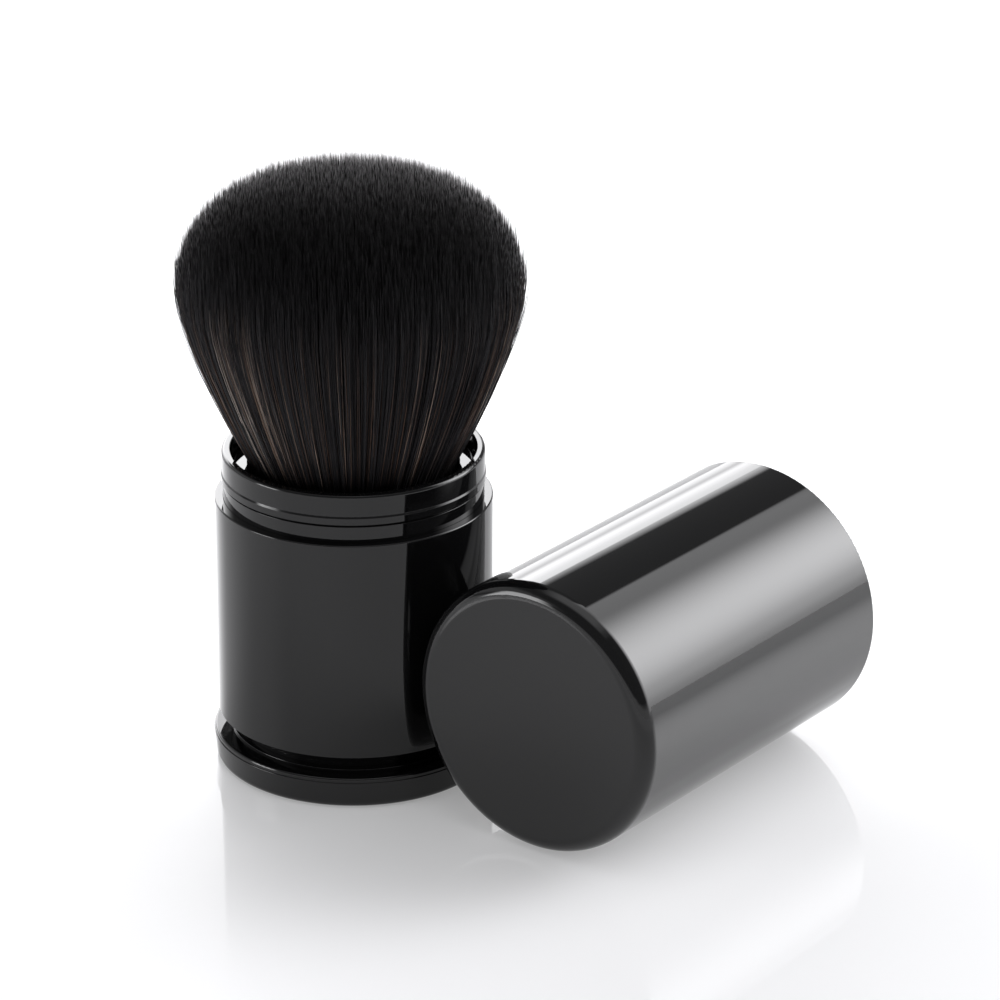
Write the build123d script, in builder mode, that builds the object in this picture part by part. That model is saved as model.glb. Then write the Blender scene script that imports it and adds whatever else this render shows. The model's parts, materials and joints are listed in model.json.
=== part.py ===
from build123d import *
import os

# A retractable powder brush, standing on its foot with the hair out.
# Its cap is off and lies on its side, touching the sleeve.
# Millimetres, +Z up. The origin is the middle of the foot's underside,
# and the cap's axis runs along X with its mouth towards +X.

# Running and seating clearances, all radial
running_gap = 0.07
ring_gap = 0.04
seat_gap = 0.05

# Overrun of every cut past the face that it leaves
overrun = 1.0

# Sleeve: a drawn metal shell over a moulded tube, whose top is the neck
sleeve_radius = 18.0
sleeve_height = 29.55
sleeve_wall = 0.4
sleeve_edge_round = 0.2
shoulder_width = 1.0
neck_height = 6.4
neck_wall = 1.15
neck_rim_round = 0.45
neck_bore_round = 0.15

# Neck's rings, by their heights above the shoulder and their depths: a plain band,
# a thin line and a bead with a sloped top
line_start = 2.1
line_width = 0.3
line_depth = 0.4
band_inset = 0.12
band_round = 0.06
bead_width = 0.9
bead_slope = 0.25
bead_proud = 0.12
bead_round = 0.08

# Foot: a flange that stands proud of the sleeve and tapers downwards, with a band
# under its top edge, and on it a low step round the slider in an open recess
foot_overhang = 0.65
foot_height = 4.2
foot_taper = 0.35
foot_bottom_round = 0.9
rim_band_height = 0.6
rim_band_inset = 0.12
rim_band_round = 0.08
foot_rim_round = 0.28
step_inset = 1.7
step_height = 0.3
step_round = 0.1
foot_gap = 2.35

# Foot's underside: cover, coring pocket, hub and ribs
cover_margin = 2.8
cover_thickness = 0.8
pocket_margin = 1.0
pocket_roof = 1.5
hub_radius = 6.5
rib_count = 6
rib_thickness = 1.0
socket_depth = 0.4

# Screw that holds foot, slider and weight together
screw_radius = 2.0
screw_head_radius = 3.6
screw_head_height = 1.5
screw_head_round = 0.45
screw_grip = 1.7
screw_reach = 4.3
screw_key_radius = 1.25
screw_key_depth = 0.8
screw_clearance = 0.15
head_clearance = 0.4

# Slider: the moulded tube that carries the hair and runs in the sleeve
slide_travel = 22.0
stop_gap = 0.1
slider_wall = 1.15
slider_floor = 2.0
collar_overlap = 0.45
collar_height = 4.4
collar_round = 0.3
ring_section = 0.9
ring_groove_width = 1.2
ring_groove_slack = 0.03
bush_wall = 0.95
bush_lead = 0.4

# Weight, ferrule and resin
weight_height = 7.0
weight_chamfer = 0.6
weight_tap_margin = 0.7
land_depth = 2.05
ferrule_wall = 0.4
ferrule_depth = 16.4
ferrule_corner = 0.8
lip_inset = 0.3
hair_root_depth = 4.75
backing_thickness = 1.0

# Hair: rings of strands that flare from the ferrule to a domed top
hair_radius = 22.05
hair_widest_height = 64.6
hair_top_height = 79.6
flare_height = 55.0
flare_radius = 19.8
root_margin = 3.1
strand_rings = 10
strands_per_ring = 6
root_strand_width = 0.66
flare_strand_width = 1.35
tip_strand_width = 0.45
tip_reach_share = 0.98
dome_side_power = 2.64
dome_top_power = 2.21

# Cap: a drawn metal shell over a moulded liner
cap_length = 50.9
cap_wall = 0.4
cap_edge_round = 2.0
cap_mouth_round = 0.15
cap_fit_gap = 0.08
liner_end_wall = 0.8
liner_mouth_lead = 0.25
liner_groove_spare = 0.15
cap_end_overhang = 10.2
cap_side_gap = 0.15

# Heights of the handle, from the foot up
step_top = foot_height + step_height
sleeve_bottom = step_top + foot_gap
shoulder_top = sleeve_bottom + sleeve_height
neck_top = shoulder_top + neck_height
socket_floor = step_top - socket_depth
ferrule_top = neck_top - land_depth
slider_top = ferrule_top - ferrule_wall
collar_bottom = slider_top - collar_height
bush_top = collar_bottom - stop_gap - slide_travel

# Radii of the handle, from the outside in
neck_radius = sleeve_radius - shoulder_width
bore_radius = neck_radius - neck_wall
band_radius = neck_radius - band_inset
bead_radius = neck_radius + bead_proud
tube_radius = sleeve_radius - sleeve_wall - seat_gap
bush_bore = bore_radius - collar_overlap
bush_radius = bush_bore + bush_wall
slider_radius = bush_bore - running_gap
collar_radius = bore_radius - running_gap
slider_bore = slider_radius - slider_wall
foot_radius = sleeve_radius + foot_overhang
step_radius = sleeve_radius - step_inset
socket_radius = slider_radius + seat_gap

# Cap's place: along X, beside the sleeve and resting on the floor
cap_radius = sleeve_radius
cap_axis_y = -(sleeve_radius + cap_radius + cap_side_gap)
cap_plane = Plane(origin=(-cap_end_overhang, cap_axis_y, cap_radius), x_dir=(1, 0, 0), z_dir=(0, -1, 0))
cap_axis = Axis((0, cap_axis_y, cap_radius), (1, 0, 0))

os.makedirs("parts", exist_ok=True)


# Foot flange: its banded rim, the low step, the slider's socket and the cored underside
band_bottom = foot_height - rim_band_height
cover_radius = foot_radius - cover_margin
pocket_radius = cover_radius - pocket_margin
pocket_top = socket_floor - pocket_roof
head_seat = socket_floor - screw_grip
head_pocket_radius = screw_head_radius + head_clearance
screw_hole_radius = screw_radius + screw_clearance
with BuildPart() as base_flange:
    with BuildSketch(Plane.XZ):
        with BuildLine():
            FilletPolyline(
                (screw_hole_radius, 0),
                (foot_radius - foot_taper, 0),
                (foot_radius, band_bottom),
                (foot_radius - rim_band_inset, band_bottom),
                (foot_radius - rim_band_inset, foot_height),
                (step_radius, foot_height),
                (step_radius, step_top),
                (socket_radius, step_top),
                (socket_radius, socket_floor),
                (screw_hole_radius, socket_floor),
                radius=[0, foot_bottom_round, rim_band_round, 0, foot_rim_round, 0, step_round,
                        0, 0, 0],
                close=True,
            )
        make_face()
    revolve(axis=Axis.Z)
    with BuildSketch(Plane.XY):
        Circle(cover_radius)
    extrude(amount=cover_thickness, mode=Mode.SUBTRACT)
    with BuildSketch(Plane.XY.offset(cover_thickness)):
        Circle(pocket_radius)
        Circle(hub_radius, mode=Mode.SUBTRACT)
        with PolarLocations(0, rib_count):
            Rectangle(pocket_radius, rib_thickness, align=(Align.MIN, Align.CENTER), mode=Mode.SUBTRACT)
    extrude(amount=pocket_top - cover_thickness, mode=Mode.SUBTRACT)
    with BuildSketch(Plane.XY):
        Circle(head_pocket_radius)
    extrude(amount=head_seat, mode=Mode.SUBTRACT)
base_flange.part.label = "base_flange"
export_step(base_flange.part, "parts/base_flange.step")


# Cover disc: closes the underside, flush with the foot
with BuildPart() as base_cover:
    with BuildSketch(Plane.XY):
        Circle(cover_radius - seat_gap)
    extrude(amount=cover_thickness)
    chamfer(base_cover.faces().sort_by(Axis.Z)[0].edges(), seat_gap)
base_cover.part.label = "base_cover"
export_step(base_cover.part, "parts/base_cover.step")


# Slider: a tube with a floor below and, at its top, the collar with the groove of its ring
ring_outer = bore_radius - ring_gap
ring_centre = ring_outer - ring_section / 2
ring_height = collar_bottom + collar_height / 2
groove_floor = ring_outer - ring_section - ring_groove_slack
with BuildPart() as slider_tube:
    with BuildSketch(Plane.XZ):
        with BuildLine():
            FilletPolyline(
                (0, socket_floor),
                (slider_radius, socket_floor),
                (slider_radius, collar_bottom),
                (collar_radius, collar_bottom),
                (collar_radius, slider_top),
                (0, slider_top),
                radius=[0, 0, 0, 0, collar_round, 0],
                close=True,
            )
        make_face()
    revolve(axis=Axis.Z)
    with BuildSketch(Plane.XY.offset(socket_floor + slider_floor)):
        Circle(slider_bore)
    extrude(amount=slider_top - socket_floor, mode=Mode.SUBTRACT)
    with BuildSketch(Plane.XY.offset(ring_height)):
        Circle(collar_radius + overrun)
        Circle(groove_floor, mode=Mode.SUBTRACT)
    extrude(amount=ring_groove_width / 2, both=True, mode=Mode.SUBTRACT)
    with BuildSketch(Plane.XY.offset(socket_floor)):
        Circle(screw_hole_radius)
    extrude(amount=slider_floor, mode=Mode.SUBTRACT)
slider_tube.part.label = "slider_tube"
export_step(slider_tube.part, "parts/slider_tube.step")


# Friction ring: a round rubber section in the collar's groove
with BuildPart() as friction_ring:
    with BuildSketch(Plane.XZ):
        with Locations((ring_centre, ring_height)):
            Circle(ring_section / 2)
    revolve(axis=Axis.Z)
friction_ring.part.label = "friction_ring"
export_step(friction_ring.part, "parts/friction_ring.step")


# Weight: a steel slug on the slider's floor, tapped from below for the screw
weight_bottom = socket_floor + slider_floor
weight_radius = slider_bore - seat_gap
screw_tip = weight_bottom + screw_reach
tap_radius = screw_radius + seat_gap
with BuildPart() as base_weight:
    with BuildSketch(Plane.XY.offset(weight_bottom)):
        Circle(weight_radius)
        Circle(tap_radius, mode=Mode.SUBTRACT)
    extrude(amount=screw_reach + weight_tap_margin)
    with BuildSketch(Plane.XY.offset(weight_bottom + screw_reach + weight_tap_margin)):
        Circle(weight_radius)
    extrude(amount=weight_height - screw_reach - weight_tap_margin)
    rims = base_weight.edges().filter_by(GeomType.CIRCLE).sort_by(SortBy.RADIUS)[-2:]
    chamfer(rims, weight_chamfer)
base_weight.part.label = "base_weight"
export_step(base_weight.part, "parts/base_weight.step")


# Screw: a pan head with a hexagon key, up through foot and slider into the weight
with BuildPart() as base_screw:
    with BuildSketch(Plane.XY.offset(head_seat - screw_head_height)):
        Circle(screw_head_radius)
    extrude(amount=screw_head_height)
    fillet(base_screw.faces().sort_by(Axis.Z)[0].edges(), screw_head_round)
    with BuildSketch(Plane.XY.offset(head_seat)):
        Circle(screw_radius)
    extrude(amount=screw_tip - head_seat)
    chamfer(base_screw.faces().sort_by(Axis.Z)[-1].edges(), screw_clearance)
    with BuildSketch(Plane.XY.offset(head_seat - screw_head_height)):
        RegularPolygon(screw_key_radius, 6)
    extrude(amount=screw_key_depth, mode=Mode.SUBTRACT)
base_screw.part.label = "base_screw"
export_step(base_screw.part, "parts/base_screw.step")


# Ferrule: a drawn cup inside the slider, whose turned-out lip is the land round the hair
ferrule_radius = slider_bore - seat_gap
ferrule_bore = ferrule_radius - ferrule_wall
ferrule_bottom = ferrule_top - ferrule_depth
lip_radius = collar_radius - lip_inset
with BuildPart() as ferrule:
    with BuildSketch(Plane.XZ):
        with BuildLine():
            FilletPolyline(
                (0, ferrule_bottom),
                (ferrule_radius, ferrule_bottom),
                (ferrule_radius, slider_top),
                (lip_radius, slider_top),
                (lip_radius, ferrule_top),
                (ferrule_bore, ferrule_top),
                (ferrule_bore, ferrule_bottom + ferrule_wall),
                (0, ferrule_bottom + ferrule_wall),
                radius=[0, ferrule_corner, 0, 0, 0, 0, ferrule_corner - ferrule_wall, 0],
                close=True,
            )
        make_face()
    revolve(axis=Axis.Z)
    lip_rim = ferrule.edges().filter_by(GeomType.CIRCLE).group_by(Axis.Z)[-1].sort_by(SortBy.RADIUS)[-1]
    fillet(lip_rim, ferrule_wall / 2)
ferrule.part.label = "ferrule"
export_step(ferrule.part, "parts/ferrule.step")


# Resin plug: holds the hair's roots in the ferrule
plug_radius = ferrule_bore - seat_gap
plug_bottom = ferrule_bottom + ferrule_wall
root_height = ferrule_top - hair_root_depth
backing_bottom = root_height - backing_thickness
with BuildPart() as hair_plug:
    with BuildSketch(Plane.XY.offset(plug_bottom)):
        Circle(plug_radius)
    extrude(amount=backing_bottom - plug_bottom)
    chamfer(hair_plug.faces().sort_by(Axis.Z)[0].edges(), ferrule_corner)
hair_plug.part.label = "hair_plug"
export_step(hair_plug.part, "parts/hair_plug.step")


# Hair: a square strand stands on each place of each ring, and every strand
# leans outward in its own upright plane, so no two of them cross
def dome_height(radius):
    """Height of the domed top at a radius."""
    fall = (radius / hair_radius) ** dome_side_power
    return hair_widest_height + (hair_top_height - hair_widest_height) * (1 - fall) ** (1 / dome_top_power)


def make_strand(ring_share):
    """One strand in the plane XZ, whose ring lies at this share of the bundle's radius."""
    root_radius = (plug_radius - root_margin) * ring_share
    bend_radius = (flare_radius - flare_strand_width / 2) * ring_share
    tip_radius = hair_radius * tip_reach_share * ring_share
    with BuildPart() as strand:
        with BuildSketch(Plane((root_radius, 0, root_height - backing_thickness / 2))):
            Rectangle(root_strand_width, root_strand_width)
        with BuildSketch(Plane((bend_radius, 0, flare_height))):
            Rectangle(flare_strand_width, flare_strand_width)
        with BuildSketch(Plane((tip_radius, 0, dome_height(tip_radius)))):
            Rectangle(tip_strand_width, tip_strand_width)
        loft(ruled=True)
    return strand.part


strands = [make_strand(0)]
for ring in range(1, strand_rings + 1):
    strands += PolarLocations(0, strands_per_ring * ring) * make_strand(ring / strand_rings)
print("strands", len(strands))

with BuildPart() as bristle_bundle:
    with BuildSketch(Plane.XY.offset(backing_bottom)):
        Circle(plug_radius)
    extrude(amount=backing_thickness)
    add(strands, clean=False)
bristle_bundle.part.label = "bristle_bundle"
export_step(bristle_bundle.part, "parts/bristle_bundle.step")


# Sleeve shell: a drawn tube whose top edge turns in over the shoulder
with BuildPart() as sleeve_shell:
    with BuildSketch(Plane.XZ):
        with BuildLine():
            FilletPolyline(
                (sleeve_radius - sleeve_wall, sleeve_bottom),
                (sleeve_radius, sleeve_bottom),
                (sleeve_radius, shoulder_top),
                (band_radius + seat_gap, shoulder_top),
                (band_radius + seat_gap, shoulder_top - sleeve_wall),
                (sleeve_radius - sleeve_wall, shoulder_top - sleeve_wall),
                radius=[0, sleeve_wall / 3, sleeve_edge_round, 0, 0, 0],
                close=True,
            )
        make_face()
    revolve(axis=Axis.Z)
sleeve_shell.part.label = "sleeve_shell"
export_step(sleeve_shell.part, "parts/sleeve_shell.step")


# Neck tube: the sleeve's moulded core, with the neck's band, line and bead
seat_top = shoulder_top - sleeve_wall
line_bottom = shoulder_top + line_start
line_top = line_bottom + line_width
bead_top = line_top + bead_width
with BuildPart() as neck_tube:
    with BuildSketch(Plane.XZ):
        with BuildLine():
            FilletPolyline(
                (bush_radius + seat_gap, sleeve_bottom),
                (tube_radius, sleeve_bottom),
                (tube_radius, seat_top),
                (band_radius, seat_top),
                (band_radius, line_bottom),
                (neck_radius - line_depth, line_bottom),
                (neck_radius - line_depth, line_top),
                (bead_radius, line_top),
                (bead_radius, bead_top),
                (neck_radius, bead_top + bead_slope),
                (neck_radius, neck_top),
                (bore_radius, neck_top),
                (bore_radius, bush_top + seat_gap),
                (bush_radius + seat_gap, bush_top + seat_gap),
                radius=[0, 0, 0, 0, band_round, 0, 0, bead_round, bead_round, bead_round,
                        neck_rim_round, neck_bore_round, 0, 0],
                close=True,
            )
        make_face()
    revolve(axis=Axis.Z)
neck_tube.part.label = "neck_tube"
export_step(neck_tube.part, "parts/neck_tube.step")


# Stop bush: pressed into the sleeve's lower end, it guides the slider and catches its collar
with BuildPart() as stop_bush:
    with BuildSketch(Plane.XY.offset(sleeve_bottom)):
        Circle(bush_radius)
        Circle(bush_bore, mode=Mode.SUBTRACT)
    extrude(amount=bush_top - sleeve_bottom)
    mouth = stop_bush.edges().filter_by(GeomType.CIRCLE).group_by(Axis.Z)[0].sort_by(SortBy.RADIUS)[0]
    chamfer(mouth, bush_lead)
stop_bush.part.label = "stop_bush"
export_step(stop_bush.part, "parts/stop_bush.step")


# Cap shell: a drawn cup, drawn here by distance from its closed end and by radius
with BuildPart() as cap_shell:
    with BuildSketch(cap_plane):
        with BuildLine():
            FilletPolyline(
                (0, 0),
                (0, cap_radius),
                (cap_length, cap_radius),
                (cap_length, cap_radius - cap_wall),
                (cap_wall, cap_radius - cap_wall),
                (cap_wall, 0),
                radius=[0, cap_edge_round, cap_mouth_round, 0, cap_edge_round - cap_wall, 0],
                close=True,
            )
        make_face()
    revolve(axis=cap_axis)
cap_shell.part.label = "cap_shell"
export_step(cap_shell.part, "parts/cap_shell.step")


# Cap liner: a moulded cup that grips the neck, with the bead's groove near its mouth
liner_radius = cap_radius - cap_wall - seat_gap
liner_bore = neck_radius + cap_fit_gap
liner_start = cap_wall
snap_radius = bead_radius + cap_fit_gap
snap_near = cap_length - (line_start + line_width - liner_groove_spare)
snap_far = snap_near - bead_width - bead_slope - 2 * liner_groove_spare
with BuildPart() as cap_liner:
    with BuildSketch(cap_plane):
        with BuildLine():
            FilletPolyline(
                (liner_start, 0),
                (liner_start, liner_radius),
                (cap_length, liner_radius),
                (cap_length, liner_bore + liner_mouth_lead),
                (cap_length - liner_mouth_lead, liner_bore),
                (snap_near, liner_bore),
                (snap_near, snap_radius),
                (snap_far, snap_radius),
                (snap_far, liner_bore),
                (liner_start + liner_end_wall, liner_bore),
                (liner_start + liner_end_wall, 0),
                radius=[0, cap_edge_round, 0, 0, 0, 0, 0, 0, 0, cap_edge_round - cap_wall, 0],
                close=True,
            )
        make_face()
    revolve(axis=cap_axis)
cap_liner.part.label = "cap_liner"
export_step(cap_liner.part, "parts/cap_liner.step")
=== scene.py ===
import json

import bpy
import numpy as np
from mathutils import Matrix, Vector


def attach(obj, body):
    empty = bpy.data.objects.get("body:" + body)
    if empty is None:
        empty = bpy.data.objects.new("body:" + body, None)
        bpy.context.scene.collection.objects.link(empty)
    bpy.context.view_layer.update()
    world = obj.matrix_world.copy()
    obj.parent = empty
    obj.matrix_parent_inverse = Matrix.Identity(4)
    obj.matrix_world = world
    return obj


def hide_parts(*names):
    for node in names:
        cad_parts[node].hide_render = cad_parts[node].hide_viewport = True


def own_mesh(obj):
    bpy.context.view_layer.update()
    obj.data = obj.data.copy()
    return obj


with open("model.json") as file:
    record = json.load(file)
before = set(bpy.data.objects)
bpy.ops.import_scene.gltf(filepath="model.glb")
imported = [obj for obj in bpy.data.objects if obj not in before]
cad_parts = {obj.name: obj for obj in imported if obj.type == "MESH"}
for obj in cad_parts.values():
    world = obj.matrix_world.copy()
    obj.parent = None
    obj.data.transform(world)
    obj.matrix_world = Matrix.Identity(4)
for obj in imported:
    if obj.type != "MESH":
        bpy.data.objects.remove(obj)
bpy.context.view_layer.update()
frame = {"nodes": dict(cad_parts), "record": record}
nodes = frame["nodes"]
print("frame loaded:", len(nodes), "CAD nodes")


# Small helpers


def heading(azimuth, elevation):
    # unit vector of a direction: azimuth from +X towards +Y and elevation above the floor, in degrees
    a, e = np.radians(azimuth), np.radians(elevation)
    return Vector((np.cos(e) * np.cos(a), np.cos(e) * np.sin(a), np.sin(e)))


def addNode(tree, kind, **settings):
    node = tree.nodes.new(kind)
    for name, value in settings.items():
        setattr(node, name, value)
    return node


def feed(tree, socket, value):
    # a link if value is another node's output, else a plain number or colour
    if isinstance(value, bpy.types.NodeSocket):
        tree.links.new(value, socket)
    else:
        socket.default_value = value


def maths(tree, operation, a, b=0.0):
    node = addNode(tree, "ShaderNodeMath", operation=operation)
    feed(tree, node.inputs[0], a)
    feed(tree, node.inputs[1], b)
    return node.outputs[0]


def dotWith(tree, a, b):
    node = addNode(tree, "ShaderNodeVectorMath", operation="DOT_PRODUCT")
    feed(tree, node.inputs[0], a)
    feed(tree, node.inputs[1], b)
    return node.outputs["Value"]


def ramp(tree, value, low, high, outLow=0.0, outHigh=1.0):
    # smooth step from outLow to outHigh as value goes from low to high
    node = addNode(tree, "ShaderNodeMapRange", interpolation_type="SMOOTHSTEP")
    for name, given in (
        ("Value", value),
        ("From Min", low),
        ("From Max", high),
        ("To Min", outLow),
        ("To Max", outHigh),
    ):
        feed(tree, node.inputs[name], given)
    return node.outputs["Result"]


def noise(tree, place, scale, detail, roughness):
    node = addNode(tree, "ShaderNodeTexNoise")
    feed(tree, node.inputs["Vector"], place)
    feed(tree, node.inputs["Scale"], scale)
    feed(tree, node.inputs["Detail"], detail)
    feed(tree, node.inputs["Roughness"], roughness)
    return node.outputs["Fac"]


def attributeOf(tree, name, output="Fac"):
    # a value that the mesh carries at every point
    return addNode(tree, "ShaderNodeAttribute", attribute_name=name).outputs[output]


def newGroup(name, inputs, outputs):
    # a shader node group with named sockets: inputs and outputs are (name, kind, default) rows
    group = bpy.data.node_groups.new(name, "ShaderNodeTree")
    for socketName, kind, default in inputs:
        socket = group.interface.new_socket(socketName, in_out="INPUT", socket_type=kind)
        socket.default_value = default
    for socketName, kind in outputs:
        group.interface.new_socket(socketName, in_out="OUTPUT", socket_type=kind)
    return group, group.nodes.new("NodeGroupInput"), group.nodes.new("NodeGroupOutput")


def useGroup(tree, group, values):
    # one use of a group, with its inputs fed by name
    node = addNode(tree, "ShaderNodeGroup", node_tree=group)
    for name, value in values.items():
        feed(tree, node.inputs[name], value)
    return node


# Camera: it stands in front and to the left of the brush and looks a little down on it
cameraSet = {
    "place": (-0.41215, -0.3363, 0.25623),
    "azimuth": 37.18,
    "pitch": -22.568,
    "roll": 0.199,
    "lens": 160.43,
    "sensor": 36.0,
    "clipStart": 0.01,
}


def makeCamera(s):
    # axes: ahead along the heading, right level with the floor, up square to both, then right and up
    # turned about ahead by the roll
    ahead = heading(s["azimuth"], s["pitch"])
    level = ahead.cross(Vector((0, 0, 1))).normalized()
    upright = level.cross(ahead)
    c, k = np.cos(np.radians(s["roll"])), np.sin(np.radians(s["roll"]))
    right = c * level + k * upright
    up = c * upright - k * level
    data = bpy.data.cameras.new("camera")
    data.lens = s["lens"]
    data.sensor_width = s["sensor"]
    data.clip_start = s["clipStart"]
    camera = bpy.data.objects.new("camera", data)
    turn = Matrix((right, up, -ahead)).transposed().to_4x4()
    camera.matrix_world = Matrix.Translation(s["place"]) @ turn
    bpy.context.scene.collection.objects.link(camera)
    bpy.context.scene.camera = camera


makeCamera(cameraSet)
print("camera placed")


# Studio: soft boxes round a dim room, with a low white wall where the floor ends. Each box is seen
# along a heading, and its widths and heights are tangents of the angle from it.
studio = {
    "colour": (0.985, 0.985, 1.0, 1.0),
    "room": 0.2,
    "wall": {"strength": 0.79, "top": 0.13, "soft": 0.05},
    "boxes": {
        "frontBell": {
            "azimuth": -90.0, "elevation": 41.0, "shift": 1.2, "strength": 8.0,
            "halfWidth": 0.52, "halfHeight": 0.46, "softWidth": 0.6, "softHeight": 1.0,
        },
        "frontSheet": {
            "azimuth": -90.0, "elevation": 45.0, "shift": 1.4, "strength": 2.0,
            "halfWidth": 0.7, "halfHeight": 1.28, "softWidth": 0.5, "softHeight": 0.05,
        },
        "backBell": {
            "azimuth": 52.0, "elevation": 19.0, "shift": 0.0, "strength": 4.1,
            "halfWidth": 0.36, "halfHeight": 0.13, "softWidth": 1.0, "softHeight": 0.4,
        },
        "backSheet": {
            "azimuth": 52.0, "elevation": 12.0, "shift": 0.0, "strength": 2.8,
            "halfWidth": 0.4, "halfHeight": 0.27, "softWidth": 1.0, "softHeight": 0.15,
        },
        "leftBox": {
            "azimuth": 141.0, "elevation": 8.0, "shift": 0.0, "strength": 7.2,
            "halfWidth": 0.18, "halfHeight": 0.2, "softWidth": 0.4, "softHeight": 0.3,
        },
        "sideSheet": {
            "azimuth": 112.0, "elevation": 25.0, "shift": 0.0, "strength": 0.5,
            "halfWidth": 0.84, "halfHeight": 0.2, "softWidth": 0.35, "softHeight": 0.5,
        },
        "topBox": {
            "azimuth": 0.0, "elevation": 89.0, "shift": 0.0, "strength": 1.1,
            "halfWidth": 0.42, "halfHeight": 0.42, "softWidth": 0.5, "softHeight": 0.5,
        },
    },
}


def softBoxGroup():
    # mask of a rectangle seen along a heading: how far the ray is from the middle, across and up, each
    # as a share of the half size, then a smooth step from 1 inside to 0 outside
    group, given, out = newGroup(
        "softBox",
        [
            ("Direction", "NodeSocketVector", (0, 0, 1)),
            ("Ahead", "NodeSocketVector", (0, 0, 1)),
            ("Across", "NodeSocketVector", (1, 0, 0)),
            ("Up", "NodeSocketVector", (0, 1, 0)),
            ("Shift", "NodeSocketFloat", 0.0),
            ("Half Width", "NodeSocketFloat", 1.0),
            ("Half Height", "NodeSocketFloat", 1.0),
            ("Soft Width", "NodeSocketFloat", 0.5),
            ("Soft Height", "NodeSocketFloat", 0.5),
        ],
        [("Mask", "NodeSocketFloat")],
    )
    ray = given.outputs["Direction"]
    leastAhead = 0.001  # a ray square to the heading or away from it never meets the box
    ahead = dotWith(group, ray, given.outputs["Ahead"])
    front = maths(group, "MAXIMUM", ahead, leastAhead)
    mask = maths(group, "GREATER_THAN", ahead, leastAhead)
    for axis, half, soft, shift in (
        ("Across", "Half Width", "Soft Width", given.outputs["Shift"]),
        ("Up", "Half Height", "Soft Height", 0.0),
    ):
        along = maths(group, "DIVIDE", dotWith(group, ray, given.outputs[axis]), front)
        away = maths(group, "ABSOLUTE", maths(group, "SUBTRACT", along, shift))
        share = maths(group, "DIVIDE", away, given.outputs[half])
        inner = maths(group, "SUBTRACT", 1.0, given.outputs[soft])
        outer = maths(group, "ADD", 1.0, given.outputs[soft])
        mask = maths(group, "MULTIPLY", mask, ramp(group, share, inner, outer, 1.0, 0.0))
    group.links.new(mask, out.inputs["Mask"])
    return group


def makeStudio(s):
    # light by direction: the room's own level, plus the low wall, plus each box's mask times its strength
    world = bpy.data.worlds.new("studio")
    world.use_nodes = True
    bpy.context.scene.world = world
    tree = world.node_tree
    tree.nodes.clear()
    ray = addNode(tree, "ShaderNodeTexCoord").outputs["Generated"]
    group = softBoxGroup()
    height = addNode(tree, "ShaderNodeSeparateXYZ")
    feed(tree, height.inputs[0], ray)
    wall = s["wall"]
    fullTo = wall["top"] - wall["soft"]
    goneFrom = wall["top"] + wall["soft"]
    low = ramp(tree, height.outputs["Z"], fullTo, goneFrom, 1.0, 0.0)
    light = maths(tree, "ADD", maths(tree, "MULTIPLY", low, wall["strength"]), s["room"])
    for box in s["boxes"].values():
        ahead = heading(box["azimuth"], box["elevation"])
        across = Vector((0, 0, 1)).cross(ahead).normalized()
        values = {
            "Direction": ray,
            "Ahead": ahead,
            "Across": across,
            "Up": ahead.cross(across),
            "Shift": box["shift"],
            "Half Width": box["halfWidth"],
            "Half Height": box["halfHeight"],
            "Soft Width": box["softWidth"],
            "Soft Height": box["softHeight"],
        }
        mask = useGroup(tree, group, values).outputs["Mask"]
        light = maths(tree, "ADD", light, maths(tree, "MULTIPLY", mask, box["strength"]))
    background = addNode(tree, "ShaderNodeBackground")
    feed(tree, background.inputs["Color"], s["colour"])
    feed(tree, background.inputs["Strength"], light)
    end = addNode(tree, "ShaderNodeOutputWorld")
    tree.links.new(background.outputs[0], end.inputs["Surface"])


makeStudio(studio)
bpy.context.scene.view_settings.view_transform = "Standard"
print("studio lit with", len(studio["boxes"]), "soft boxes")


# Finishes. fineSurface gives every hard material its slight unevenness: a tone that varies, smears in
# the gloss and a fine grain, all in object coordinates.
surfaceSet = {
    "smearDetail": 4.0,
    "smearRoughness": 0.6,
    "smearFrom": 0.45,
    "smearTo": 0.75,
    "grainDetail": 3.0,
    "grainRoughness": 0.5,
    "grainDepth": 0.0001,
}


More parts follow.
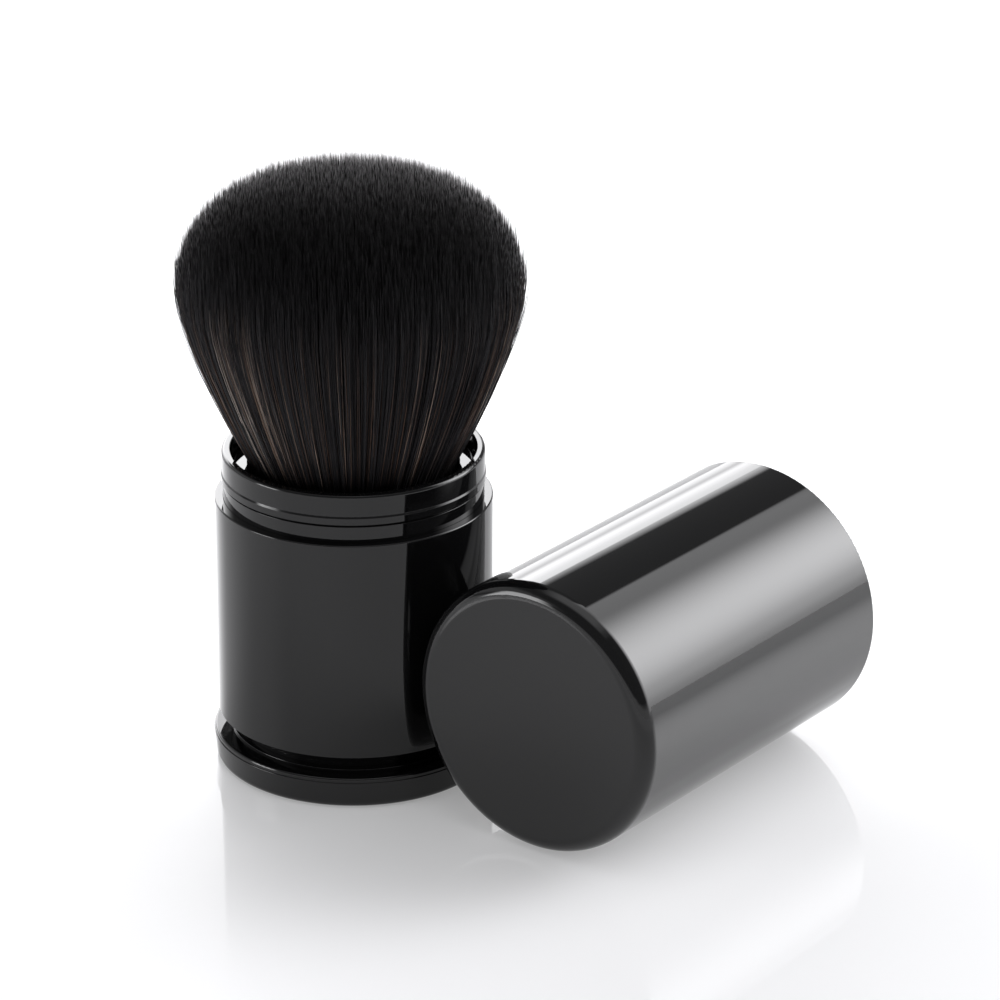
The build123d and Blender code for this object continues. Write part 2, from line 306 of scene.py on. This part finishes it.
def fineSurfaceGroup(s):
    # colour: the given one times 1 plus the tone change times noise from -1 to 1; roughness: the given
    # one plus smears where the same noise is high; normal: bump of a finer noise
    group, given, out = newGroup(
        "fineSurface",
        [
            ("Colour", "NodeSocketColor", (0.01, 0.01, 0.01, 1)),
            ("Tone Change", "NodeSocketFloat", 0.2),
            ("Roughness", "NodeSocketFloat", 0.05),
            ("Smears", "NodeSocketFloat", 0.03),
            ("Smear Scale", "NodeSocketFloat", 60.0),
            ("Grain Scale", "NodeSocketFloat", 900.0),
            ("Grain Height", "NodeSocketFloat", 0.02),
        ],
        [
            ("Colour", "NodeSocketColor"),
            ("Roughness", "NodeSocketFloat"),
            ("Normal", "NodeSocketVector"),
        ],
    )
    place = addNode(group, "ShaderNodeTexCoord").outputs["Object"]
    smear = noise(group, place, given.outputs["Smear Scale"], s["smearDetail"], s["smearRoughness"])
    grain = noise(group, place, given.outputs["Grain Scale"], s["grainDetail"], s["grainRoughness"])
    lift = maths(group, "MULTIPLY", maths(group, "SUBTRACT", smear, 0.5), 2.0)  # from 0..1 to -1..1
    tone = maths(group, "ADD", 1.0, maths(group, "MULTIPLY", lift, given.outputs["Tone Change"]))
    tint = addNode(group, "ShaderNodeVectorMath", operation="SCALE")
    feed(group, tint.inputs[0], given.outputs["Colour"])
    feed(group, tint.inputs["Scale"], tone)
    group.links.new(tint.outputs[0], out.inputs["Colour"])
    smears = ramp(group, smear, s["smearFrom"], s["smearTo"])
    smears = maths(group, "MULTIPLY", smears, given.outputs["Smears"])
    feed(group, out.inputs["Roughness"], maths(group, "ADD", given.outputs["Roughness"], smears))
    bump = addNode(group, "ShaderNodeBump")
    bump.inputs["Distance"].default_value = s["grainDepth"]
    feed(group, bump.inputs["Strength"], given.outputs["Grain Height"])
    feed(group, bump.inputs["Height"], grain)
    group.links.new(bump.outputs["Normal"], out.inputs["Normal"])
    return group


fineSurface = fineSurfaceGroup(surfaceSet)


def makeFinish(name, ior=1.5, metallic=0.0, **surface):
    # a hard finish: its own ior and metallic, and the fineSurface group with the rest of its values
    material = bpy.data.materials.new(name)
    material.use_nodes = True
    tree = material.node_tree
    shader = tree.nodes["Principled BSDF"]
    shader.inputs["IOR"].default_value = ior
    shader.inputs["Metallic"].default_value = metallic
    node = useGroup(tree, fineSurface, surface)
    tree.links.new(node.outputs["Colour"], shader.inputs["Base Color"])
    tree.links.new(node.outputs["Roughness"], shader.inputs["Roughness"])
    tree.links.new(node.outputs["Normal"], shader.inputs["Normal"])
    return material


finishes = {
    "gloss_black_plastic": {
        "ior": 1.47,
        "Colour": (0.0035, 0.0035, 0.0038, 1), "Tone Change": 0.15, "Roughness": 0.035, "Smears": 0.02,
        "Smear Scale": 70.0, "Grain Scale": 500.0, "Grain Height": 0.01,
    },
    "satin_black_plastic": {
        "Colour": (0.014, 0.014, 0.015, 1), "Tone Change": 0.2, "Roughness": 0.32, "Smears": 0.1,
        "Smear Scale": 90.0, "Grain Scale": 3500.0, "Grain Height": 0.12,
    },
    "black_lacquered_aluminium": {
        "ior": 1.47,
        "Colour": (0.0035, 0.0035, 0.0038, 1), "Tone Change": 0.15, "Roughness": 0.03, "Smears": 0.02,
        "Smear Scale": 45.0, "Grain Scale": 350.0, "Grain Height": 0.008,
    },
    "zinc_plated_steel": {
        "metallic": 1.0,
        "Colour": (0.6, 0.61, 0.63, 1), "Tone Change": 0.12, "Roughness": 0.3, "Smears": 0.15,
        "Smear Scale": 200.0, "Grain Scale": 1500.0, "Grain Height": 0.15,
    },
    "black_rubber": {
        "Colour": (0.02, 0.02, 0.02, 1), "Tone Change": 0.3, "Roughness": 0.7, "Smears": 0.15,
        "Smear Scale": 300.0, "Grain Scale": 5000.0, "Grain Height": 0.4,
    },
    "resin": {
        "Colour": (0.2, 0.15, 0.08, 1), "Tone Change": 0.35, "Roughness": 0.35, "Smears": 0.2,
        "Smear Scale": 250.0, "Grain Scale": 900.0, "Grain Height": 0.2,
    },
}
materials = {name: makeFinish(name + "Finish", **values) for name, values in finishes.items()}

slotOf = {part["node"]: part["material_slot"] for part in frame["record"]["subparts"]}
for name, node in nodes.items():
    if slotOf[name] in materials:
        node.data.materials.clear()
        node.data.materials.append(materials[slotOf[name]])
print("finishes on the CAD nodes:", len(materials))


# Hair: every strand is a thin three-sided tube from the resin to the dome's surface, made in sectors.
# Patches and the sides of painted sheen are rows of middle angle, spread and lift, in degrees round the
# bundle.
hair = {
    "seed": 11,
    "strands": 30000,
    "sectors": 16,
    "rings": 9,
    "ringPower": 1.7,
    "lean": (-0.00012, 0.00016),
    "start": 0.0358,
    "neck": 0.0407,
    "widest": 0.0646,
    "top": 0.07985,
    "neckRadius": 0.0131,
    "widestRadius": 0.0222,
    "flarePower": 1.4,
    "domeSide": 2.45,
    "domeTop": 2.21,
    "thickness": 0.0001,
    "tipThickness": 0.00005,
    "thicknessRange": (0.8, 1.2),
    "taperShare": 0.4,
    "taperPower": 0.7,
    "crossed": (0.31, 0.95, 0.05),
    "tipScatter": 0.0005,
    "tipLow": -0.002,
    "tipHigh": 0.0004,
    "shortShare": 0.25,
    "shortBy": 0.005,
    "wander": 0.0006,
    "wanderPower": 1.5,
    "waveShare": 0.3,
    "edgeCalm": 4,
    "leastCalm": 0.3,
    "tufts": 2600,
    "tuftPull": 0.16,
    "tuftRise": 1.1,
    "strayShare": 0.02,
    "strayFrom": 0.9,
    "strayLeast": 0.2,
    "strayReach": 0.0012,
    "strayPower": 3,
    "flattestRim": 0.02,
    "patchLift": 1.9,
    "patchPower": 2,
    # patches: partly paler hair, partly painted light shining through the hair on its lit sides
    "patches": (
        (175, 13, 0.5), (142, 9, 0.35), (-64, 12, 0.45), (-150, 8, 0.18),
        (-112, 9, 0.15), (60, 20, 0.3), (10, 20, 0.3),
    ),
    # painted sheen: the grey on the lower hair stands in for the lamps' sheen, most on these two sides
    "paintedSheenSides": ((152, 34, 1.0), (-53, 30, 0.2)),
    "paintedSheenAround": 0.65,
    "paintedSheenLeast": 0.4,
    "keep": 0.68,
}


def flare(h, z):
    # radius of the outermost strand: neck radius plus the spread times 1 - (1 - t) to the flare's power,
    # with t the share of the way from neck to widest place; above that it stays
    t = np.clip((z - h["neck"]) / (h["widest"] - h["neck"]), 0, 1)
    return h["neckRadius"] + (h["widestRadius"] - h["neckRadius"]) * (1 - (1 - t) ** h["flarePower"])


def domeHeight(h, share):
    # height of the dome over a share of the widest radius: the curve (r/R)^side + t^top = 1, solved for t
    t = np.clip(1 - np.clip(share, 0, 1) ** h["domeSide"], 0, 1) ** (1 / h["domeTop"])
    return h["widest"] + (h["top"] - h["widest"]) * t


def strandLines(h, random):
    # centre lines: each strand keeps its share of the bundle's radius all the way up, so it fans out with
    # the flare, is drawn towards its tuft between its ends, wanders a little towards its tip, less so at
    # the bundle's edge, and now and then strays outwards there
    count = h["strands"]
    share = np.sqrt(random.uniform(0, 1, count))
    angle = np.sort(random.uniform(0, 2 * np.pi, count))
    tuftShare = np.sqrt(random.uniform(0, 1, h["tufts"]))
    tuftAngle = random.uniform(0, 2 * np.pi, h["tufts"])
    tuft = np.stack([tuftShare * np.cos(tuftAngle), tuftShare * np.sin(tuftAngle)], 1)
    root = np.stack([share * np.cos(angle), share * np.sin(angle)], 1)
    away = ((root[:, None, :] - tuft[None, :, :]) ** 2).sum(2)
    nearest = tuft[away.argmin(1)]
    scatter = random.normal(0, h["tipScatter"], count)
    tipHeight = domeHeight(h, share) + np.clip(scatter, h["tipLow"], h["tipHigh"])
    short = random.uniform(0, 1, count) < h["shortShare"]
    tipHeight -= short * random.uniform(0, h["shortBy"], count)
    along = alongStrand(h)
    z = h["start"] + (tipHeight - h["start"])[:, None] * along[None, :]
    pull = h["tuftPull"] * np.sin(np.pi * np.clip(along * h["tuftRise"], 0, 1))[None, :, None]
    flat = root[:, None, :] * (1 - pull) + nearest[:, None, :] * pull
    spread = flare(h, z)[:, :, None] * flat
    drift = random.normal(0, h["wander"], (count, 1, 2)) * (along ** h["wanderPower"])[None, :, None]
    wave = random.normal(0, h["wander"] * h["waveShare"], (count, 1, 2))
    wave = wave * np.sin(np.pi * 2 * along)[None, :, None]
    inward = np.clip((1 - share) * h["edgeCalm"], h["leastCalm"], 1)[:, None, None]
    stray = (random.uniform(0, 1, count) < h["strayShare"]) & (share > h["strayFrom"])
    reach = stray * random.uniform(h["strayLeast"], 1, count) * h["strayReach"]
    outward = (root / share[:, None])[:, None, :] * reach[:, None, None]
    outward = outward * (along ** h["strayPower"])[None, :, None]
    lean = np.array(h["lean"]) * (along**2)[None, :, None]
    line = spread + (drift + wave) * inward + outward + lean
    return np.concatenate([line, z[:, :, None]], 2), angle, share


def domeNormals(h, share, angle):
    # direction square to the dome above each strand: the dome's fall per step outwards, from the same
    # curve, is height / radius * side / top * share^(side - 1) * (1 - share^side)^(1 / top - 1)
    inside = np.clip(1 - share ** h["domeSide"], h["flattestRim"], 1)
    fall = share ** (h["domeSide"] - 1) * inside ** (1 / h["domeTop"] - 1) * h["domeSide"] / h["domeTop"]
    fall *= (h["top"] - h["widest"]) / h["widestRadius"]
    crown = np.stack([fall * np.cos(angle), fall * np.sin(angle), np.ones_like(fall)], 1)
    return crown / np.linalg.norm(crown, axis=1, keepdims=True)


def alongStrand(h):
    # shares of a strand's length at which it has rings, closer together towards the tip
    return 1 - (1 - np.linspace(0, 1, h["rings"] + 1)) ** h["ringPower"]


def bell(angle, middle, spread):
    # 1 at the middle angle, falling off on both sides as e^-(away / spread)^2, with both in degrees
    away = (np.degrees(angle) - middle + 180) % 360 - 180
    return np.exp(-((away / spread) ** 2))


def strandTones(h, random, angle):
    # tone: chance, raised by a bell where a patch lies, partly paler hair and partly painted light
    # shining through the hair; the patch raises every strand by a second chance of its own, so that dark
    # ones stay between the pale ones
    tone = random.uniform(0, 1, h["strands"])
    taken = random.uniform(0, 1, h["strands"]) ** h["patchPower"] * h["patchLift"]
    for middle, spread, lift in h["patches"]:
        tone += lift * taken * bell(angle, middle, spread)
    return tone


def paintedSheenShares(h, random, angle):
    # painted sheen: an even share all round plus a bell on each of the two sides the lamps light, times
    # chance
    paintedSheenShare = np.full(h["strands"], h["paintedSheenAround"])
    for middle, spread, lift in h["paintedSheenSides"]:
        paintedSheenShare += lift * bell(angle, middle, spread)
    return paintedSheenShare * random.uniform(h["paintedSheenLeast"], 1, h["strands"])


def strandMesh(name, lines, along, crossed, width, turn, tone, paintedSheenShare, crown):
    # tube: at each ring three points round the centre line, at the strand's half width along two
    # directions square to it, the first of them also square to the crossed direction; quads between
    # rings, three triangles up to the tip and one at the root
    sides = 3
    count, rings = lines.shape[0], lines.shape[1] - 1
    step = np.gradient(lines, axis=1)
    step /= np.linalg.norm(step, axis=2, keepdims=True)
    side = np.cross(step, np.array(crossed))
    side /= np.linalg.norm(side, axis=2, keepdims=True)
    other = np.cross(step, side)
    corner = (turn[:, None, None] + np.arange(sides) * 2 * np.pi / sides)[..., None]
    half = width[:, :rings, None, None] / 2
    around = np.cos(corner) * side[:, :rings, None, :] + np.sin(corner) * other[:, :rings, None, :]
    tube = lines[:, :rings, None, :] + half * around
    points = np.concatenate([tube.reshape(count, rings * sides, 3), lines[:, rings:, :]], 1)
    k, c = np.meshgrid(np.arange(rings - 1), np.arange(sides), indexing="ij")
    here = sides * k + c
    beside = sides * k + (c + 1) % sides
    quads = np.stack([here, beside, beside + sides, here + sides], -1).reshape(-1, 4)
    tip = sides * rings
    last = tip - sides
    tips = np.array([[last, last + 1, tip], [last + 1, last + 2, tip], [last + 2, last, tip], [2, 1, 0]])
    each = tip + 1  # points of one strand
    base = (np.arange(count) * each)[:, None, None]
    loops = np.concatenate([(base + quads).reshape(count, -1), (base + tips).reshape(count, -1)], 1)
    sizes = np.tile(np.concatenate([np.full(len(quads), 4), np.full(len(tips), 3)]), count)
    mesh = bpy.data.meshes.new(name)
    mesh.vertices.add(count * each)
    mesh.vertices.foreach_set("co", points.astype(np.float32).ravel())
    mesh.loops.add(loops.size)
    mesh.loops.foreach_set("vertex_index", loops.astype(np.int32).ravel())
    mesh.polygons.add(len(sizes))
    mesh.polygons.foreach_set("loop_start", (np.cumsum(sizes) - sizes).astype(np.int32))
    mesh.polygons.foreach_set("use_smooth", np.ones(len(sizes), bool))
    mesh.update(calc_edges=True)
    reach = np.concatenate([np.repeat(along[:rings], sides), [1.0]])
    for label, values in (
        ("strandReach", np.tile(reach, count)),
        ("strandTone", np.repeat(tone, each)),
        ("strandPaintedSheen", np.repeat(paintedSheenShare, each)),
    ):
        attribute = mesh.attributes.new(label, "FLOAT", "POINT")
        attribute.data.foreach_set("value", values.astype(np.float32))
    attribute = mesh.attributes.new("strandCrown", "FLOAT_VECTOR", "POINT")
    attribute.data.foreach_set("vector", np.repeat(crown, each, axis=0).astype(np.float32).ravel())
    piece = bpy.data.objects.new(name, mesh)
    bpy.context.scene.collection.objects.link(piece)
    return piece


hairLook = {
    "black": (0.0105, 0.0101, 0.0108, 1),
    # painted sheen: grey standing in for the lamps' sheen on the lower hair
    "paintedLowSheen": (0.045, 0.0435, 0.047, 1),
    # brown and pale: partly the hair's own colour, partly painted light through the hair and painted
    # glints
    "brownAndLitThrough": (0.2, 0.115, 0.075, 1),
    "paleAndGlint": (0.62, 0.54, 0.48, 1),
    # painted sheen: the light grey of the tips stands in for the lamps behind lighting them
    "tip": (0.58, 0.56, 0.57, 1),
    # painted shade: below these heights, low in the neck, the hair's colours fade to black
    "neckShadeFrom": 0.0405,
    "neckShadeTo": 0.049,
    "paintedLowSheenFrom": 0.059,
    "paintedLowSheenTo": 0.076,
    "toneFrom": 0.051,
    "toneTo": 0.069,
    "brownAndLitThroughFrom": 0.78,
    "brownAndLitThroughTo": 1.15,
    "paleAndGlintFrom": 0.97,
    "paleAndGlintTo": 1.35,
    "paintedTipSheenFrom": 0.972,
    "paintedTipSheenTo": 0.99,
    "paintedTipSheenPower": 4.2,
    "roughness": 0.38,
    "tipRoughness": 0.6,
    "roughFrom": 0.6,
    "roughTo": 1.0,
    "ior": 1.2,
}


def makeHairFinish(s):
    # colour: black mixed with a grey painted sheen by the strand's share of it, then with brown and with
    # a pale tone by its tone, each between two heights; brown and pale are partly the hair's own colour
    # and partly painted light shining through the hair and painted glints; all three fade to black low in
    # the neck as painted shade; near the tip a light grey is mixed in as a painted sheen that grows where
    # the dome is seen at a flat angle
    material = bpy.data.materials.new("hairFinish")
    material.use_nodes = True
    tree = material.node_tree
    shader = tree.nodes["Principled BSDF"]
    shader.inputs["IOR"].default_value = s["ior"]
    tone = attributeOf(tree, "strandTone")
    reach = attributeOf(tree, "strandReach")
    paintedSheenShare = attributeOf(tree, "strandPaintedSheen")
    split = addNode(tree, "ShaderNodeSeparateXYZ")
    feed(tree, split.inputs[0], addNode(tree, "ShaderNodeTexCoord").outputs["Object"])
    height = split.outputs["Z"]
    # painted shade: the colours fade to black low in the neck, where shade falls
    clearOfNeckShade = ramp(tree, height, s["neckShadeFrom"], s["neckShadeTo"])
    shown = maths(tree, "MULTIPLY", clearOfNeckShade, ramp(tree, height, s["toneFrom"], s["toneTo"], 1.0, 0.0))
    # painted sheen on the lower hair, by the strand's share of it
    paintedLowSheen = maths(tree, "MULTIPLY", ramp(tree, height, s["paintedLowSheenFrom"], s["paintedLowSheenTo"], 1.0, 0.0), paintedSheenShare)
    paintedLowSheen = maths(tree, "MULTIPLY", paintedLowSheen, clearOfNeckShade)
    # brown and pale: partly own colour, partly painted light through the hair and painted glints
    brownAndLitThrough = maths(tree, "MULTIPLY", ramp(tree, tone, s["brownAndLitThroughFrom"], s["brownAndLitThroughTo"]), shown)
    paleAndGlint = maths(tree, "MULTIPLY", ramp(tree, tone, s["paleAndGlintFrom"], s["paleAndGlintTo"]), shown)
    # painted sheen on the tips: light grey by how flat the dome is seen, near the tip only
    flat = addNode(tree, "ShaderNodeLayerWeight")
    tree.links.new(attributeOf(tree, "strandCrown", "Vector"), flat.inputs["Normal"])
    paintedTipSheen = maths(tree, "POWER", flat.outputs["Facing"], s["paintedTipSheenPower"])
    tip = maths(tree, "MULTIPLY", ramp(tree, reach, s["paintedTipSheenFrom"], s["paintedTipSheenTo"]), paintedTipSheen)
    colour = s["black"]
    for other, share in ((s["paintedLowSheen"], paintedLowSheen), (s["brownAndLitThrough"], brownAndLitThrough), (s["paleAndGlint"], paleAndGlint), (s["tip"], tip)):
        blend = addNode(tree, "ShaderNodeMix", data_type="RGBA")
        feed(tree, blend.inputs["Factor"], share)
        feed(tree, blend.inputs[6], colour)  # 6, 7 and 2 are the node's sockets for colours
        feed(tree, blend.inputs[7], other)
        colour = blend.outputs[2]
    tree.links.new(colour, shader.inputs["Base Color"])
    rough = ramp(tree, reach, s["roughFrom"], s["roughTo"], s["roughness"], s["tipRoughness"])
    tree.links.new(rough, shader.inputs["Roughness"])
    return material


def makeHair(h, look):
    # thickness: at the tip the tip's own, growing over the taper's share of the length to the full one,
    # times chance; each sector of the bundle is one piece
    random = np.random.default_rng(h["seed"])
    lines, angle, share = strandLines(h, random)
    along = alongStrand(h)
    taper = np.clip((1 - along) / h["taperShare"], 0, 1) ** h["taperPower"]
    thickness = h["tipThickness"] + (h["thickness"] - h["tipThickness"]) * taper
    size = random.uniform(*h["thicknessRange"], h["strands"])[:, None] * thickness
    turn = random.uniform(0, 2 * np.pi, h["strands"])
    tone = strandTones(h, random, angle)
    paintedSheenShare = paintedSheenShares(h, random, angle)
    crown = domeNormals(h, share, angle)
    finish = makeHairFinish(look)
    width = 2 * np.pi / h["sectors"]
    for k in range(h["sectors"]):
        mine = (angle >= k * width) & (angle < (k + 1) * width)
        looks = (size[mine], turn[mine], tone[mine], paintedSheenShare[mine], crown[mine])
        piece = strandMesh(f"hair_{k + 1:02d}", lines[mine], along, h["crossed"], *looks)
        piece.data.materials.append(finish)
        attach(piece, "base")
        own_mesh(piece)
        if k == 0:
            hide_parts("bristle_bundle")
    print("hair made:", h["strands"], "strands in", h["sectors"], "sectors")


makeHair(hair, hairLook)


# Floor: a wide pale sheet, polished near the brush, where it mirrors the brush and the light behind it
floorSet = {
    "half": 6.0,
    "below": 0.00005,
    "colour": (0.74, 0.74, 0.75, 1),
    "glow": 0.3,
    "roughness": 0.5,
    "ior": 1.25,
    "polishMiddle": (0.005, -0.015, 0.0),
    "polishFrom": 0.05,
    "polishTo": 0.24,
    "polishRoughness": 0.03,
}


def makeFloor(s):
    # a flat square just under the object; the polish falls off with the distance from its middle
    half = s["half"]
    mesh = bpy.data.meshes.new("floor")
    low = -s["below"]
    corners = [(-half, -half, low), (half, -half, low), (half, half, low), (-half, half, low)]
    mesh.from_pydata(corners, [], [(0, 1, 2, 3)])
    floor = bpy.data.objects.new("floor", mesh)
    bpy.context.scene.collection.objects.link(floor)
    material = bpy.data.materials.new("floorFinish")
    material.use_nodes = True
    tree = material.node_tree
    shader = tree.nodes["Principled BSDF"]
    shader.inputs["Base Color"].default_value = s["colour"]
    shader.inputs["Roughness"].default_value = s["roughness"]
    shader.inputs["IOR"].default_value = s["ior"]
    shader.inputs["Coat Roughness"].default_value = s["polishRoughness"]
    shader.inputs["Emission Strength"].default_value = s["glow"]
    path = addNode(tree, "ShaderNodeLightPath").outputs
    shown = maths(tree, "MAXIMUM", path["Is Camera Ray"], path["Is Glossy Ray"])
    tree.links.new(shown, shader.inputs["Emission Color"])
    away = addNode(tree, "ShaderNodeVectorMath", operation="DISTANCE")
    feed(tree, away.inputs[0], addNode(tree, "ShaderNodeTexCoord").outputs["Object"])
    feed(tree, away.inputs[1], s["polishMiddle"])
    polish = ramp(tree, away.outputs["Value"], s["polishFrom"], s["polishTo"], 1.0, 0.0)
    tree.links.new(polish, shader.inputs["Coat Weight"])
    floor.data.materials.append(material)


makeFloor(floorSet)
print("floor laid")
